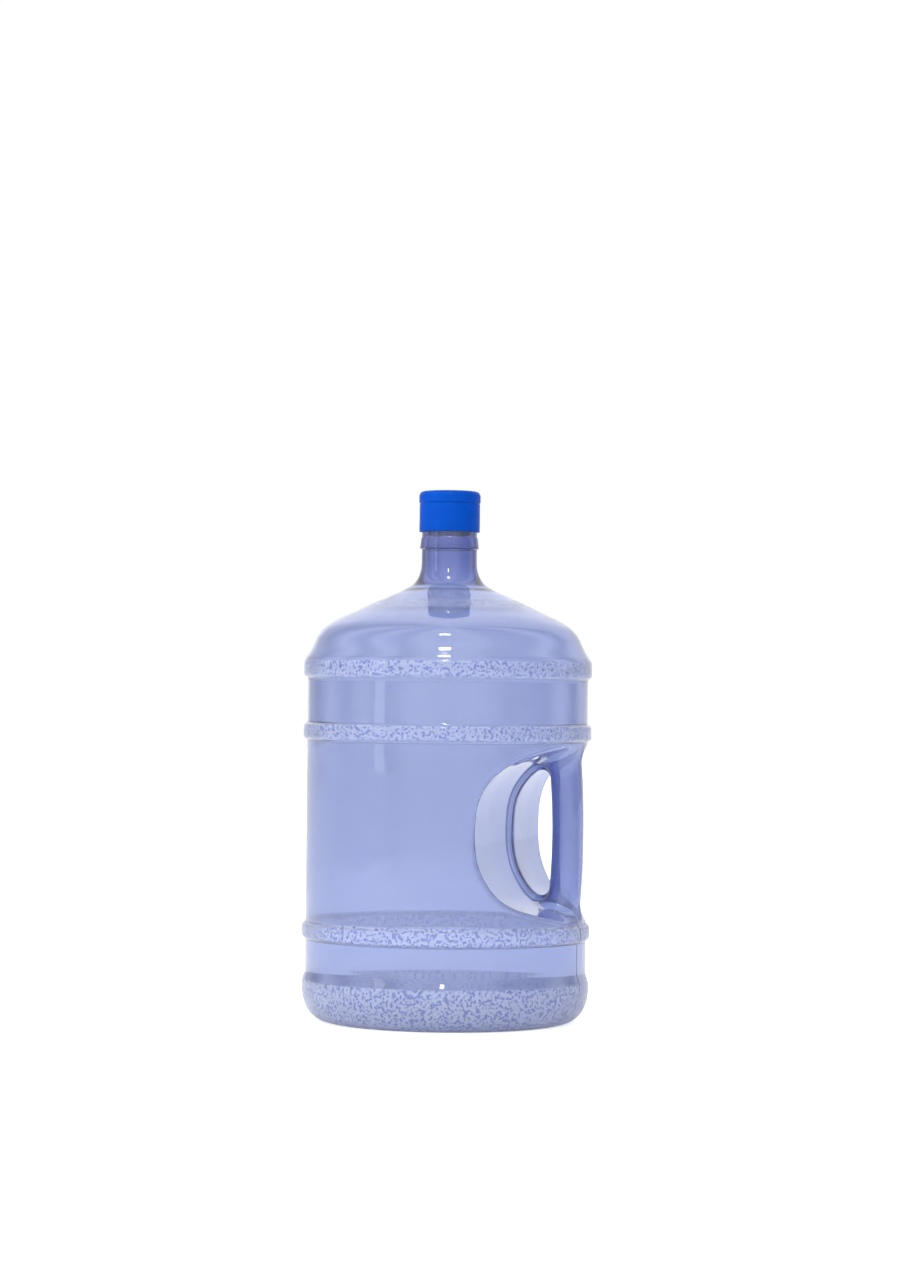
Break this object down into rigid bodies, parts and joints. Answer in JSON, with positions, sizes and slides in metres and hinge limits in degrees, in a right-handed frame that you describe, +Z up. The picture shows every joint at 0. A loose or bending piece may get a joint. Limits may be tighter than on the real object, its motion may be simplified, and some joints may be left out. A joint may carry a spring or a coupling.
{
  "type": "water cooler jug with handle",
  "caption": "Large ribbed water-cooler jug, tinted clear, with a narrow neck, a handle moulded into its side and a push-on valve cap.",
  "frame": {"origin": "centre of the ring that the jug stands on", "axes": "+Z up along the jug's axis towards the cap, +X towards the handle"},
  "size_m": [0.27, 0.27, 0.496],
  "materials": {
    "polycarbonate": "blue-tinted clear, glossy, with pebble-grained bands",
    "cap_plastic": "satin blue low-density polyethylene",
    "foam": "white closed-cell foam",
    "valve_plastic": "natural milky polyethylene",
    "seal_film": "white laminated peel-off film"
  },
  "bodies": {
    "bottle": {"bottle_base": "polycarbonate", "bottle_body": "polycarbonate", "bottle_pocket_lower": "polycarbonate", "bottle_pocket_upper": "polycarbonate", "bottle_grip": "polycarbonate", "bottle_shoulder": "polycarbonate", "bottle_neck": "polycarbonate", "bottle_finish": "polycarbonate"},
    "cap": {"cap_shell": "cap_plastic", "cap_foam_liner": "foam", "hygiene_seal": "seal_film"},
    "tear_tab": {"cap_tear_tab": "cap_plastic"},
    "plug": {"valve_plug": "valve_plastic"}
  },
  "joints": [
    {"name": "cap_pull", "type": "slide", "parent": "bottle", "child": "cap", "axis": [0, 0, 1], "range_m": [0, 0.08]},
    {"name": "plug_push", "type": "slide", "parent": "cap", "child": "plug", "axis": [0, 0, -1], "range_m": [0, 0.03]},
    {"name": "tear_tab_lift", "type": "hinge", "parent": "cap", "child": "tear_tab", "pos_m": [-0.0283, 0, 0.47022], "axis": [0, 1, 0], "range_deg": [0, 90]}
  ]
}
